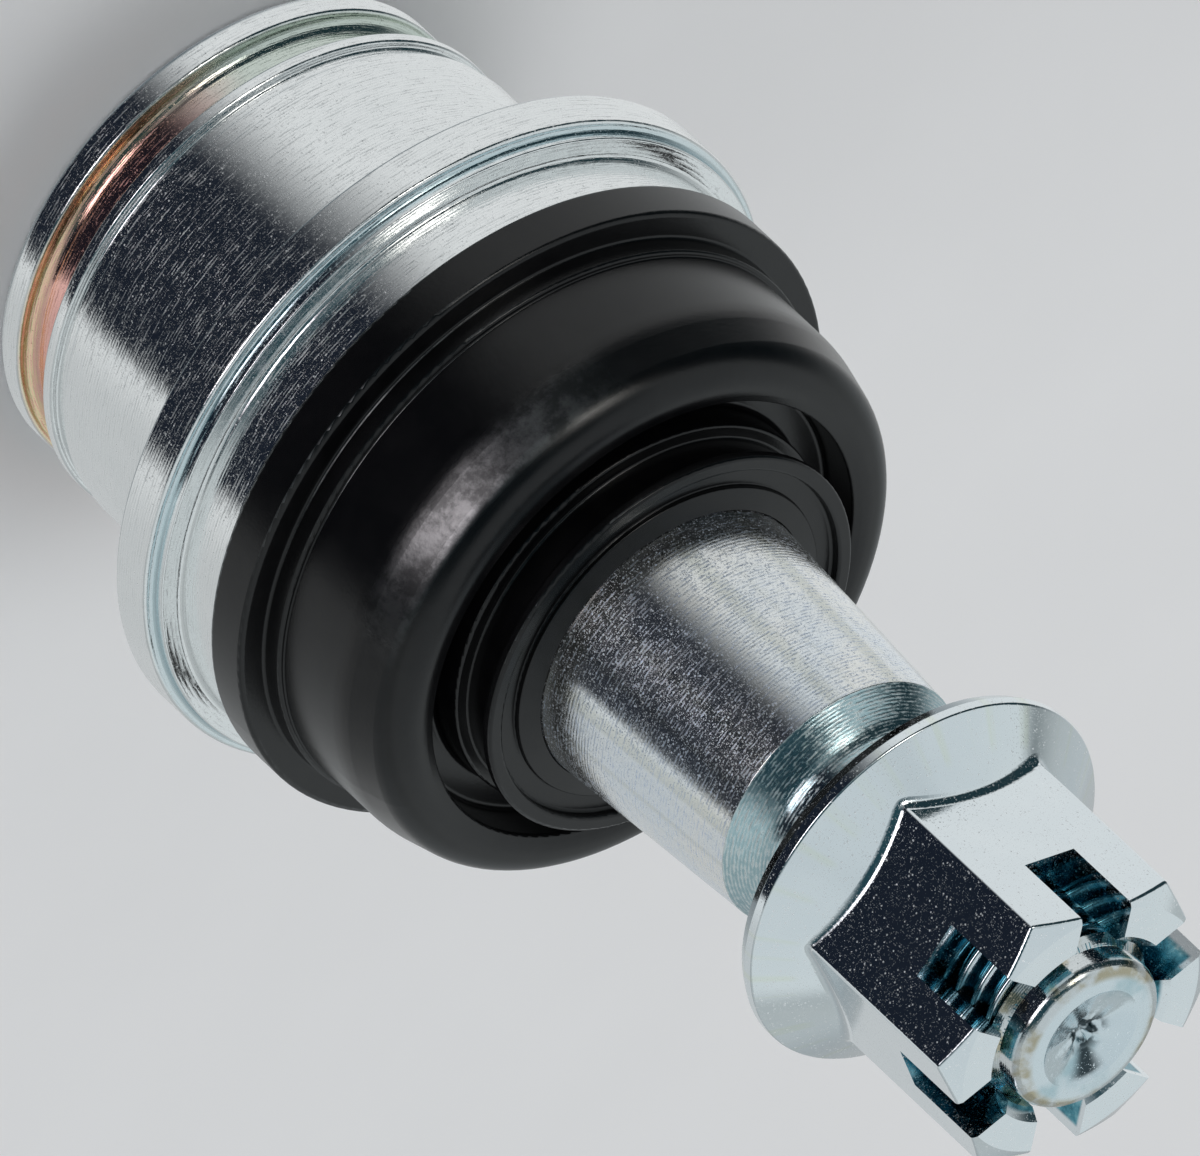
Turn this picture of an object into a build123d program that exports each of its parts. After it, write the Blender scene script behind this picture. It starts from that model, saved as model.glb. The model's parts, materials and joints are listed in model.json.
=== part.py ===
from build123d import *
import os

# Press-in ball joint for a suspension arm, in millimetres.
# +Z runs along the stud, from the closed end to the threaded tip.
# The origin is the centre of the ball, which lies inside the press-fit barrel.

# Ball and stud
BALL_RADIUS = 16.5
STUD_NECK_RADIUS = 9.2
STUD_NECK_BLEND = 2.0
STUD_FLARE_LENGTH = 8.0
STUD_FLARE_FOOT_ROUND = 6.0
STUD_FLARE_HEAD_ROUND = 3.0
STUD_SHOULDER_LENGTH = 1.4
TAPER_START_Z = 29.1
TAPER_LENGTH = 28.75
TAPER_LARGE_RADIUS = 13.5
TAPER_RATIO = 8.0
STUD_WAIST_RADIUS = 9.3
STUD_WAIST_LENGTH = 5.4
STUD_WAIST_SLOPE_LENGTH = 2.75
STUD_WAIST_ROUND = 2.5
THREAD_UNDERCUT_DEPTH = 1.1
THREAD_UNDERCUT_LENGTH = 1.9
THREAD_RADIUS = 8.0
THREAD_LENGTH = 23.25
DOG_POINT_STEP = 0.8
DOG_POINT_LENGTH = 2.6
DOG_POINT_ROUND = 1.2
CENTRE_DRILL_RADIUS = 1.7
CENTRE_DRILL_DEPTH = 1.9
COTTER_HOLE_RADIUS = 2.0

# Castle nut
NUT_ACROSS_FLATS = 24.0
NUT_HEIGHT = 22.65
NUT_SEAT_CHAMFER = 0.55
NUT_SEAT_CHAMFER_LENGTH = 1.05
NUT_FLANGE_RADIUS = 17.25
NUT_FLANGE_RIM = 0.85
NUT_FLANGE_RISE = 4.05
NUT_FLANGE_WAIST_DEPTH = 0.1
NUT_FLANGE_FILLET = 1.2
NUT_CORNER_ROUND = 0.5
NUT_SLOT_WIDTH = 5.0
NUT_SLOT_DEPTH = 7.7
NUT_CROWN_INSET = 0.2
NUT_CROWN_CHAMFER = 1.1
NUT_CROWN_ROUND = 0.35
NUT_MOUTH_CHAMFER = 0.9
NUT_THREAD_RUNOUT = 1.9

# Housing, outside
BARREL_WALL = 4.85
BARREL_LENGTH = 16.1
COLLAR_DEPTH = 0.75
COLLAR_LENGTH = 2.65
RING_GROOVE_DEPTH = 2.25
RING_GROOVE_WIDTH = 4.15
RING_GROOVE_ROUND = 1.1
LAND_DEPTH = 0.1
LAND_LENGTH = 1.3
RELIEF_DEPTH = 0.75
RELIEF_LENGTH = 1.4
LEAD_DEPTH = 0.25
LEAD_LENGTH = 1.7
BOOT_SEAT_LENGTH = 3.2
NECK_STEP = 2.1
NECK_LENGTH = 5.1
FACE_WIDTH = 1.9
FACE_STEP_HEIGHT = 1.15
FLANGE_LEDGE = 0.9
FLANGE_THICKNESS = 3.9
COVE_ROUND = 0.5

# Housing, inside
MOUTH_RADIUS = 18.9
COVER_SEAT_WIDTH = 0.8
ROLLED_LIP_WIDTH = 2.2
ROLLED_LIP_THICKNESS = 1.1

# Bearings, spring and cover
BEARING_WALL = 2.1
BEARING_SPLIT = 0.3
UPPER_SEAT_EDGE_ANGLE = 26.6
UPPER_BEARING_LIP_HEIGHT = 2.6
UPPER_BEARING_LIP_FLARE = 0.85
CUP_FLOOR = 2.4
GREASE_HOLE_RADIUS = 2.6
SPRING_OUTER_RADIUS = 15.4
SPRING_INNER_RADIUS = 7.6
SPRING_THICKNESS = 1.2
SPRING_CONE_HEIGHT = 1.1
COVER_THICKNESS = 2.3
COVER_DISH_RADIUS = 12.0
COVER_DISH_DEPTH = 0.8

# Dust boot and its two rings
BOOT_BAND_WALL = 3.1
BOOT_BAND_LENGTH = 4.25
BOOT_BAND_STEP = 2.4
BOOT_BEAD_STEP = 0.5
BOOT_BEAD_LENGTH = 2.0
BOOT_BULB_SWELL = 1.5
BOOT_BULB_ROUND = 8.0
BOOT_SHOULDER_HEIGHT = 6.5
BOOT_SHOULDER_ROUND = 3.0
BOOT_CREST_WIDTH = 3.85
BOOT_CREST_HEIGHT = 16.0
BOOT_CREST_DROP = 1.15
BOOT_VALLEY_WIDTH = 2.75
BOOT_VALLEY_DEPTH = 5.0
BOOT_WALL = 1.8
BOOT_LIP_WALL = 5.1
BOOT_LIP_FOOT_STEP = 0.1
BOOT_LIP_HEIGHT = 18.55
BOOT_LIP_LENGTH = 5.2
BOOT_LIP_RIM_WIDTH = 1.35
BOOT_LIP_RIM_LENGTH = 1.1
BOOT_LIP_WAIST_DEPTH = 1.1
BOOT_LIP_FOOT_DEPTH = 4.4
BOOT_LIP_RECESS_WIDTH = 1.85
BOOT_LIP_RECESS_DEPTH = 0.9
BOOT_LIP_SLEEVE_STEP = 0.5
BOOT_LIP_SLEEVE_RISE = 0.5
BASE_RING_WALL = 1.2
BASE_RING_LENGTH = 2.0
LIP_RING_WALL = 1.3
LIP_RING_LENGTH = 2.6
LIP_RING_COVER = 1.3
LIP_RING_RUBBER = 0.65

# Clearances between pieces, and the roundings of edges
RUNNING_CLEARANCE = 0.06
SEAT_CLEARANCE = 0.05
SOFT_CLEARANCE = 0.1
FINE_ROUND = 0.15
EDGE_ROUND = 0.3
RUBBER_ROUND = 0.45
FORGED_ROUND = 0.8

# Places along the axis that follow from the sizes above
CUP_FLOOR_Z = -(BALL_RADIUS + RUNNING_CLEARANCE + CUP_FLOOR)
SPRING_FOOT_Z = CUP_FLOOR_Z - SEAT_CLEARANCE - SPRING_CONE_HEIGHT - SPRING_THICKNESS
COVER_OUTER_Z = SPRING_FOOT_Z - COVER_THICKNESS
CLOSED_END_Z = COVER_OUTER_Z - ROLLED_LIP_THICKNESS
COLLAR_END_Z = CLOSED_END_Z + COLLAR_LENGTH
RING_GROOVE_END_Z = COLLAR_END_Z + RING_GROOVE_WIDTH
LAND_END_Z = RING_GROOVE_END_Z + LAND_LENGTH
RELIEF_END_Z = LAND_END_Z + RELIEF_LENGTH
BARREL_START_Z = RELIEF_END_Z + LEAD_LENGTH
FLANGE_START_Z = BARREL_START_Z + BARREL_LENGTH
FLANGE_END_Z = FLANGE_START_Z + FLANGE_THICKNESS
FACE_Z = FLANGE_END_Z + FACE_STEP_HEIGHT
NECK_END_Z = FACE_Z + NECK_LENGTH
MOUTH_Z = NECK_END_Z + BOOT_SEAT_LENGTH
TAPER_END_Z = TAPER_START_Z + TAPER_LENGTH
THREAD_START_Z = TAPER_END_Z + STUD_WAIST_LENGTH + THREAD_UNDERCUT_LENGTH
THREAD_END_Z = THREAD_START_Z + THREAD_LENGTH
TIP_Z = THREAD_END_Z + DOG_POINT_LENGTH
NUT_SEAT_Z = THREAD_START_Z + NUT_THREAD_RUNOUT
NUT_TOP_Z = NUT_SEAT_Z + NUT_HEIGHT
SLOT_FLOOR_Z = NUT_TOP_Z - NUT_SLOT_DEPTH
COTTER_HOLE_Z = SLOT_FLOOR_Z + COTTER_HOLE_RADIUS + EDGE_ROUND
BOOT_BAND_END_Z = NECK_END_Z + BOOT_BAND_LENGTH
BOOT_CREST_Z = BOOT_BAND_END_Z + BOOT_CREST_HEIGHT
BOOT_CREST_EDGE_Z = BOOT_CREST_Z - BOOT_CREST_DROP
BOOT_VALLEY_Z = BOOT_CREST_Z - BOOT_VALLEY_DEPTH
BOOT_LIP_Z = BOOT_BAND_END_Z + BOOT_LIP_HEIGHT
BASE_RING_Z = NECK_END_Z + (BOOT_BAND_LENGTH - BASE_RING_LENGTH) / 2
LIP_RING_Z = BOOT_LIP_Z - LIP_RING_COVER - LIP_RING_LENGTH


def taper_radius(z):
    """Radius of the tapered seat of the stud at height z."""
    return TAPER_LARGE_RADIUS - (z - TAPER_START_Z) / TAPER_RATIO / 2


# Radii that follow from the sizes above
BALL_SEAT_RADIUS = BALL_RADIUS + RUNNING_CLEARANCE
BORE_RADIUS = BALL_RADIUS + BEARING_WALL
BARREL_RADIUS = BORE_RADIUS + BARREL_WALL
COVER_RADIUS = BORE_RADIUS + COVER_SEAT_WIDTH
UPPER_SEAT_EDGE = Vector(BALL_SEAT_RADIUS, 0).rotate(Axis.Z, UPPER_SEAT_EDGE_ANGLE)
UPPER_BEARING_TOP_Z = UPPER_SEAT_EDGE.Y + UPPER_BEARING_LIP_HEIGHT
THROAT_RADIUS = UPPER_SEAT_EDGE.X + UPPER_BEARING_LIP_FLARE
BOOT_LIP_RADIUS = taper_radius(BOOT_LIP_Z) + BOOT_LIP_WALL
BOOT_LIP_FOOT_RADIUS = BOOT_LIP_RADIUS + BOOT_LIP_FOOT_STEP
BOOT_VALLEY_RADIUS = BOOT_LIP_FOOT_RADIUS + BOOT_VALLEY_WIDTH
BOOT_SHOULDER_RADIUS = BOOT_VALLEY_RADIUS + BOOT_CREST_WIDTH
BOOT_BULB_RADIUS = BOOT_SHOULDER_RADIUS + BOOT_BULB_SWELL
BOOT_BEAD_RADIUS = BOOT_BULB_RADIUS + BOOT_BEAD_STEP
BOOT_BAND_RADIUS = BOOT_BEAD_RADIUS + BOOT_BAND_STEP
BOOT_SEAT_RADIUS = BOOT_BAND_RADIUS - BOOT_BAND_WALL
NECK_RADIUS = BOOT_SEAT_RADIUS + NECK_STEP
FACE_STEP_RADIUS = NECK_RADIUS + FACE_WIDTH
FLANGE_RADIUS = FACE_STEP_RADIUS + FLANGE_LEDGE
LIP_RING_RADIUS = taper_radius(LIP_RING_Z) + SOFT_CLEARANCE + LIP_RING_RUBBER


def turned(outline):
    """Turn an outline of (radius, z, corner rounding) points about the axis."""
    points = [(radius, z) for radius, z, corner in outline]
    corners = [corner for radius, z, corner in outline]
    with BuildPart() as piece:
        with BuildSketch(Plane.XZ):
            with BuildLine():
                FilletPolyline(*points, radius=corners, close=True)
            make_face()
        revolve(axis=Axis.Z)
    return piece.part


def ring(radius, start_z, wall, length, corner=0):
    """Ring of rectangular section, from its inner radius and its lower end."""
    return turned([
        (radius, start_z, corner),
        (radius + wall, start_z, corner),
        (radius + wall, start_z + length, corner),
        (radius, start_z + length, corner),
    ])


def housing():
    """Forged shell: barrel, flange and neck outside, bearing bore and mouth inside."""
    throat_z = UPPER_BEARING_TOP_Z + SEAT_CLEARANCE
    recess_z = COVER_OUTER_Z - SEAT_CLEARANCE
    collar_radius = BARREL_RADIUS - COLLAR_DEPTH
    groove_radius = BARREL_RADIUS - RING_GROOVE_DEPTH
    land_radius = BARREL_RADIUS - LAND_DEPTH
    relief_radius = BARREL_RADIUS - RELIEF_DEPTH
    lead_radius = BARREL_RADIUS - LEAD_DEPTH
    rolled_lip_radius = COVER_RADIUS - ROLLED_LIP_WIDTH
    outside = [
        (collar_radius, CLOSED_END_Z, FORGED_ROUND),
        (collar_radius, COLLAR_END_Z, EDGE_ROUND),
        (groove_radius, COLLAR_END_Z, RING_GROOVE_ROUND),
        (groove_radius, RING_GROOVE_END_Z, RING_GROOVE_ROUND),
        (land_radius, RING_GROOVE_END_Z, EDGE_ROUND),
        (land_radius, LAND_END_Z, EDGE_ROUND),
        (relief_radius, LAND_END_Z, EDGE_ROUND),
        (relief_radius, RELIEF_END_Z, EDGE_ROUND),
        (lead_radius, RELIEF_END_Z, FINE_ROUND),
        (lead_radius, BARREL_START_Z - LEAD_DEPTH, 0),
        (BARREL_RADIUS, BARREL_START_Z, 0),
        (BARREL_RADIUS, FLANGE_START_Z, EDGE_ROUND),
        (FLANGE_RADIUS, FLANGE_START_Z, EDGE_ROUND),
        (FLANGE_RADIUS, FLANGE_END_Z, EDGE_ROUND),
        (FACE_STEP_RADIUS, FLANGE_END_Z, COVE_ROUND),
        (FACE_STEP_RADIUS, FACE_Z, FINE_ROUND),
        (NECK_RADIUS, FACE_Z, COVE_ROUND),
        (NECK_RADIUS, NECK_END_Z, EDGE_ROUND),
        (BOOT_SEAT_RADIUS, NECK_END_Z, EDGE_ROUND),
        (BOOT_SEAT_RADIUS, MOUTH_Z, FORGED_ROUND),
    ]
    inside = [
        (MOUTH_RADIUS, MOUTH_Z, FORGED_ROUND),
        (THROAT_RADIUS, throat_z, 0),
        (BORE_RADIUS, throat_z, 0),
        (BORE_RADIUS, SPRING_FOOT_Z, 0),
        (COVER_RADIUS, SPRING_FOOT_Z, 0),
        (COVER_RADIUS, recess_z, 0),
        (rolled_lip_radius, recess_z, 0),
        (rolled_lip_radius, CLOSED_END_Z, EDGE_ROUND),
    ]
    return turned(outside + inside)


def end_cover():
    """Dished plate held in the closed end by the rolled lip of the housing."""
    radius = COVER_RADIUS - SEAT_CLEARANCE
    top_z = SPRING_FOOT_Z - SEAT_CLEARANCE
    dish_z = COVER_OUTER_Z + COVER_DISH_DEPTH
    return turned([
        (0, dish_z, 0),
        (COVER_DISH_RADIUS, dish_z, EDGE_ROUND),
        (COVER_DISH_RADIUS + COVER_DISH_DEPTH, COVER_OUTER_Z, EDGE_ROUND),
        (radius, COVER_OUTER_Z, EDGE_ROUND),
        (radius, top_z, 0),
        (0, top_z, 0),
    ])


def preload_spring():
    """Conical disc spring between the cover and the pressure cup."""
    head_z = SPRING_FOOT_Z + SPRING_CONE_HEIGHT
    return turned([
        (SPRING_OUTER_RADIUS, SPRING_FOOT_Z, FINE_ROUND),
        (SPRING_OUTER_RADIUS, SPRING_FOOT_Z + SPRING_THICKNESS, FINE_ROUND),
        (SPRING_INNER_RADIUS, head_z + SPRING_THICKNESS, FINE_ROUND),
        (SPRING_INNER_RADIUS, head_z, FINE_ROUND),
    ])


def pressure_cup():
    """Sliding lower bearing: a cup that the spring pushes against the ball."""
    radius = BORE_RADIUS - RUNNING_CLEARANCE
    blank = turned([
        (GREASE_HOLE_RADIUS, CUP_FLOOR_Z, 0),
        (radius, CUP_FLOOR_Z, FORGED_ROUND),
        (radius, -BEARING_SPLIT, FINE_ROUND),
        (GREASE_HOLE_RADIUS, -BEARING_SPLIT, 0),
    ])
    return blank - Sphere(BALL_SEAT_RADIUS)


def upper_bearing():
    """Ring in the throat of the housing that keeps the ball from pulling out."""
    radius = BORE_RADIUS - SEAT_CLEARANCE
    blank = turned([
        (UPPER_SEAT_EDGE.X, BEARING_SPLIT, 0),
        (radius, BEARING_SPLIT, FINE_ROUND),
        (radius, UPPER_BEARING_TOP_Z, FINE_ROUND),
        (THROAT_RADIUS, UPPER_BEARING_TOP_Z, 0),
        (UPPER_SEAT_EDGE.X, UPPER_SEAT_EDGE.Y, 0),
    ])
    return blank - Sphere(BALL_SEAT_RADIUS)


def ball_stud():
    """Ball, neck, tapered seat and threaded end, forged in one piece."""
    neck_start_z = (BALL_RADIUS**2 - STUD_NECK_RADIUS**2) ** 0.5
    flare_end_z = TAPER_START_Z - STUD_SHOULDER_LENGTH
    waist_end_z = TAPER_END_Z + STUD_WAIST_LENGTH
    undercut_radius = THREAD_RADIUS - THREAD_UNDERCUT_DEPTH
    point_radius = THREAD_RADIUS - DOG_POINT_STEP
    shank = turned([
        (0, 0, 0),
        (STUD_NECK_RADIUS, 0, 0),
        (STUD_NECK_RADIUS, flare_end_z - STUD_FLARE_LENGTH, STUD_FLARE_FOOT_ROUND),
        (TAPER_LARGE_RADIUS, flare_end_z, STUD_FLARE_HEAD_ROUND),
        (TAPER_LARGE_RADIUS, TAPER_START_Z, 0),
        (taper_radius(TAPER_END_Z), TAPER_END_Z, FINE_ROUND),
        (STUD_WAIST_RADIUS, TAPER_END_Z + STUD_WAIST_SLOPE_LENGTH, STUD_WAIST_ROUND),
        (STUD_WAIST_RADIUS, waist_end_z, EDGE_ROUND),
        (undercut_radius, waist_end_z, EDGE_ROUND),
        (undercut_radius, THREAD_START_Z - THREAD_UNDERCUT_DEPTH, 0),
        (THREAD_RADIUS, THREAD_START_Z, 0),
        (THREAD_RADIUS, THREAD_END_Z - DOG_POINT_STEP, 0),
        (point_radius, THREAD_END_Z, 0),
        (point_radius, TIP_Z, DOG_POINT_ROUND),
        (CENTRE_DRILL_RADIUS, TIP_Z, 0),
        (0, TIP_Z - CENTRE_DRILL_DEPTH, 0),
    ])
    blank = shank + Sphere(BALL_RADIUS)
    corner = blank.edges().filter_by(GeomType.CIRCLE).sort_by_distance(
        Vector(STUD_NECK_RADIUS, 0, neck_start_z))[0]
    blank = blank.fillet(STUD_NECK_BLEND, [corner])
    drill = Cylinder(COTTER_HOLE_RADIUS, 4 * THREAD_RADIUS, rotation=(0, 90, 0))
    return blank - Pos(0, 0, COTTER_HOLE_Z) * drill


def edges_between(solid, low_z, high_z):
    """Curved edges of the hexagon's outline whose middles lie between two heights."""
    outline = solid.edges().filter_by(lambda e: e.geom_type not in (GeomType.LINE, GeomType.CIRCLE))
    return outline.filter_by_position(Axis.Z, low_z, high_z)


def nut_blank():
    """Hexagon with its rounded crown, blended into a conical flange."""
    corner_radius = NUT_ACROSS_FLATS / 3**0.5
    crown_radius = NUT_ACROSS_FLATS / 2 - NUT_CROWN_INSET
    waist_radius = NUT_ACROSS_FLATS / 2 - NUT_FLANGE_WAIST_DEPTH
    rim_start_z = NUT_SEAT_Z + NUT_SEAT_CHAMFER_LENGTH
    rim_end_z = rim_start_z + NUT_FLANGE_RIM
    hexagon = extrude(
        Plane.XY.offset(NUT_SEAT_Z)
        * RegularPolygon(NUT_ACROSS_FLATS / 2, 6, major_radius=False, rotation=30),
        NUT_HEIGHT,
    )
    hexagon = hexagon.fillet(NUT_CORNER_ROUND, hexagon.edges().filter_by(Axis.Z))
    crown = turned([
        (0, NUT_SEAT_Z, 0),
        (corner_radius, NUT_SEAT_Z, 0),
        (corner_radius, NUT_TOP_Z - NUT_CROWN_CHAMFER, 0),
        (crown_radius, NUT_TOP_Z, 0),
        (0, NUT_TOP_Z, 0),
    ])
    flange = turned([
        (0, NUT_SEAT_Z, 0),
        (NUT_FLANGE_RADIUS - NUT_SEAT_CHAMFER, NUT_SEAT_Z, FINE_ROUND),
        (NUT_FLANGE_RADIUS, rim_start_z, FINE_ROUND),
        (NUT_FLANGE_RADIUS, rim_end_z, EDGE_ROUND),
        (waist_radius, rim_end_z + NUT_FLANGE_RISE, 0),
        (0, rim_end_z + NUT_FLANGE_RISE, 0),
    ])
    blank = (hexagon & crown) + flange
    blank = blank.fillet(NUT_FLANGE_FILLET, edges_between(
        blank, rim_end_z, rim_end_z + NUT_FLANGE_RISE))
    return blank.fillet(NUT_CROWN_ROUND, edges_between(
        blank, NUT_TOP_Z - 2 * NUT_CROWN_CHAMFER, NUT_TOP_Z))


def castle_nut():
    """Flanged hexagon nut with six slots, one in the middle of each flat."""
    bore_radius = THREAD_RADIUS + RUNNING_CLEARANCE
    mouth_radius = bore_radius + NUT_MOUTH_CHAMFER
    hole = turned([
        (0, NUT_SEAT_Z, 0),
        (mouth_radius, NUT_SEAT_Z, 0),
        (bore_radius, NUT_SEAT_Z + NUT_MOUTH_CHAMFER, 0),
        (bore_radius, NUT_TOP_Z - NUT_MOUTH_CHAMFER, 0),
        (mouth_radius, NUT_TOP_Z, 0),
        (0, NUT_TOP_Z, 0),
    ])
    nut = nut_blank() - hole
    slot = Pos(0, 0, SLOT_FLOOR_Z) * Box(
        4 * NUT_FLANGE_RADIUS, NUT_SLOT_WIDTH, 2 * NUT_SLOT_DEPTH,
        align=(Align.CENTER, Align.CENTER, Align.MIN))
    for angle in (0, 60, 120):
        nut -= Rot(0, 0, angle) * slot
    return nut


def boot_base_ring():
    """Steel ring inside the large end of the boot, pressed on the housing."""
    return ring(BOOT_SEAT_RADIUS + SEAT_CLEARANCE, BASE_RING_Z, BASE_RING_WALL,
                BASE_RING_LENGTH, FINE_ROUND)


def boot_lip_ring():
    """Steel ring inside the small end of the boot, which grips the stud."""
    return ring(LIP_RING_RADIUS, LIP_RING_Z, LIP_RING_WALL, LIP_RING_LENGTH, FINE_ROUND)


def boot_shell():
    """Rubber of the boot: band, bead, bulb, rolled fold and lip in one profile."""
    base_z = NECK_END_Z + SOFT_CLEARANCE
    bead_end_z = BOOT_BAND_END_Z + BOOT_BEAD_LENGTH
    shoulder_z = BOOT_CREST_Z - BOOT_SHOULDER_HEIGHT
    seat_radius = BOOT_SEAT_RADIUS + SEAT_CLEARANCE
    waist_radius = BOOT_LIP_RADIUS - BOOT_LIP_WAIST_DEPTH
    recess_radius = BOOT_LIP_RADIUS - BOOT_LIP_RIM_WIDTH
    sleeve_radius = recess_radius - BOOT_LIP_RECESS_WIDTH
    recess_z = BOOT_LIP_Z - BOOT_LIP_RECESS_DEPTH
    sleeve_z = recess_z + BOOT_LIP_SLEEVE_STEP
    hole_z = sleeve_z + BOOT_LIP_SLEEVE_RISE
    outside = [
        (seat_radius, base_z, EDGE_ROUND + SEAT_CLEARANCE),
        (BOOT_BAND_RADIUS, base_z, RUBBER_ROUND),
        (BOOT_BAND_RADIUS, BOOT_BAND_END_Z, RUBBER_ROUND),
        (BOOT_BEAD_RADIUS, BOOT_BAND_END_Z, EDGE_ROUND),
        (BOOT_BEAD_RADIUS, bead_end_z, EDGE_ROUND),
        (BOOT_BULB_RADIUS, bead_end_z, FINE_ROUND),
        (BOOT_BULB_RADIUS, shoulder_z, BOOT_BULB_ROUND),
        (BOOT_SHOULDER_RADIUS, BOOT_CREST_Z, BOOT_SHOULDER_ROUND),
        (BOOT_VALLEY_RADIUS, BOOT_CREST_EDGE_Z, EDGE_ROUND),
        (BOOT_VALLEY_RADIUS, BOOT_VALLEY_Z, RUBBER_ROUND),
        (BOOT_LIP_FOOT_RADIUS, BOOT_VALLEY_Z, RUBBER_ROUND),
        (BOOT_LIP_FOOT_RADIUS, BOOT_LIP_Z - BOOT_LIP_FOOT_DEPTH, EDGE_ROUND),
        (waist_radius, BOOT_LIP_Z - BOOT_LIP_FOOT_DEPTH, EDGE_ROUND),
        (waist_radius, BOOT_LIP_Z - BOOT_LIP_RIM_LENGTH, EDGE_ROUND),
        (BOOT_LIP_RADIUS, BOOT_LIP_Z - BOOT_LIP_RIM_LENGTH, EDGE_ROUND),
        (BOOT_LIP_RADIUS, BOOT_LIP_Z, EDGE_ROUND),
        (recess_radius, BOOT_LIP_Z, EDGE_ROUND),
        (recess_radius, recess_z, EDGE_ROUND),
        (sleeve_radius, recess_z, FINE_ROUND),
        (sleeve_radius, sleeve_z, FINE_ROUND),
    ]
    foot_z = BOOT_LIP_Z - BOOT_LIP_LENGTH
    fold_radius = BOOT_VALLEY_RADIUS + BOOT_WALL
    fold_z = BOOT_CREST_EDGE_Z - BOOT_WALL / 2
    bulb_radius = BOOT_BULB_RADIUS - BOOT_WALL
    seat_end_z = MOUTH_Z + SOFT_CLEARANCE
    inside = [
        (taper_radius(hole_z) + SOFT_CLEARANCE, hole_z, 0),
        (taper_radius(foot_z) + SOFT_CLEARANCE, foot_z, 0),
        (BOOT_LIP_FOOT_RADIUS - BOOT_WALL, BOOT_VALLEY_Z - BOOT_WALL, FORGED_ROUND),
        (fold_radius, BOOT_VALLEY_Z - BOOT_WALL, FORGED_ROUND),
        (fold_radius, fold_z, EDGE_ROUND),
        (bulb_radius, shoulder_z, BOOT_BULB_ROUND),
        (bulb_radius, seat_end_z, EDGE_ROUND),
        (seat_radius, seat_end_z, 0),
    ]
    return turned(outside + inside)


def dust_boot():
    """Rubber boot with the pockets for its two rings."""
    base_pocket = ring(
        BOOT_SEAT_RADIUS, BASE_RING_Z - SOFT_CLEARANCE,
        BASE_RING_WALL + SEAT_CLEARANCE + SOFT_CLEARANCE,
        BASE_RING_LENGTH + 2 * SOFT_CLEARANCE)
    lip_pocket = ring(
        LIP_RING_RADIUS - SOFT_CLEARANCE, LIP_RING_Z - SOFT_CLEARANCE,
        LIP_RING_WALL + 2 * SOFT_CLEARANCE, LIP_RING_LENGTH + 2 * SOFT_CLEARANCE)
    return boot_shell() - base_pocket - lip_pocket


PIECES = {
    "housing": housing,
    "end_cover": end_cover,
    "preload_spring": preload_spring,
    "pressure_cup": pressure_cup,
    "upper_bearing": upper_bearing,
    "ball_stud": ball_stud,
    "castle_nut": castle_nut,
    "boot_base_ring": boot_base_ring,
    "boot_lip_ring": boot_lip_ring,
    "dust_boot": dust_boot,
}

os.makedirs("parts", exist_ok=True)
for name, make in PIECES.items():
    export_step(make(), f"parts/{name}.step")
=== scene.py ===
import json
import math

import bmesh
import bpy
from mathutils import Matrix, Vector

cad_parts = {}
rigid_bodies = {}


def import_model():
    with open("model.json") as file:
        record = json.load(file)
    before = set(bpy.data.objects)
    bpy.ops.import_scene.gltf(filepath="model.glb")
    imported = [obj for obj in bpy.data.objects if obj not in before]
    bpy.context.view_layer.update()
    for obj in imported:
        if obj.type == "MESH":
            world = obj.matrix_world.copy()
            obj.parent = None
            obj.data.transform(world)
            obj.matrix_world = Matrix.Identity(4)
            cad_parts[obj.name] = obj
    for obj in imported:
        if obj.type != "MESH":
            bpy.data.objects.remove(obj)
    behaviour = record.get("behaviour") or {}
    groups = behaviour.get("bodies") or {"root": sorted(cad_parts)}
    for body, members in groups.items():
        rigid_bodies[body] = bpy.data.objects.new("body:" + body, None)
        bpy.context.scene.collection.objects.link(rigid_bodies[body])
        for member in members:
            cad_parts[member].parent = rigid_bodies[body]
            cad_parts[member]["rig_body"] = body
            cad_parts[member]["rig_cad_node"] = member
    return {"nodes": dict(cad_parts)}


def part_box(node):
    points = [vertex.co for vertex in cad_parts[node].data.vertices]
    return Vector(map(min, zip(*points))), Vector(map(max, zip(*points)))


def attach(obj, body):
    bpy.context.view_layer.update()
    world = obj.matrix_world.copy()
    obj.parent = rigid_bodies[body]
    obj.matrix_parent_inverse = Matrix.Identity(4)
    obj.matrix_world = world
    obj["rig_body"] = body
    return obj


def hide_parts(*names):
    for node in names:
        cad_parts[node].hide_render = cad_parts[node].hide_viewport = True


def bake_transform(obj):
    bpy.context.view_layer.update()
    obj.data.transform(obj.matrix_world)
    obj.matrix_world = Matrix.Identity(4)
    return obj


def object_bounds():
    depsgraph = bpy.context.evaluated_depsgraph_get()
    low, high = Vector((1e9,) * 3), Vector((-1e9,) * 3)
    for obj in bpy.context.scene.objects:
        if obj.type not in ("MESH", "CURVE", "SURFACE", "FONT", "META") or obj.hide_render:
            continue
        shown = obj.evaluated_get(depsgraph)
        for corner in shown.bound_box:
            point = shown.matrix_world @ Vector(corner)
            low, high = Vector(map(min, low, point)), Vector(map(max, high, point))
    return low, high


for leftover in list(bpy.data.objects):
    bpy.data.objects.remove(leftover)

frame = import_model()
cad_box = [list(corner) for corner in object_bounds()]

MM = 0.001

# Where the plating's films and the painted tint and shade lie: heights and radii in metres, bearings in
# radians. The teal in the flange's cove is painted reflection; the dark blue in the nut's slots and bore is
# painted shade.
GROOVE_START_Z = -22.2 * MM
GROOVE_END_Z = -17.8 * MM
GROOVE_MOUTH_RADIUS = 22.6 * MM
FILM_BEARING = math.radians(5.0)
FLANGE_TOP_Z = 6.49 * MM
FACE_Z = 7.64 * MM
LEDGE_RADIUS = 30.9 * MM
TAPER_END_Z = 57.85 * MM
NUT_CONE_HEIGHT = 4.0 * MM
NUT_CROWN_DEPTH = 0.525 * MM
NUT_CROWN_RADIUS = 11.4 * MM

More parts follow.
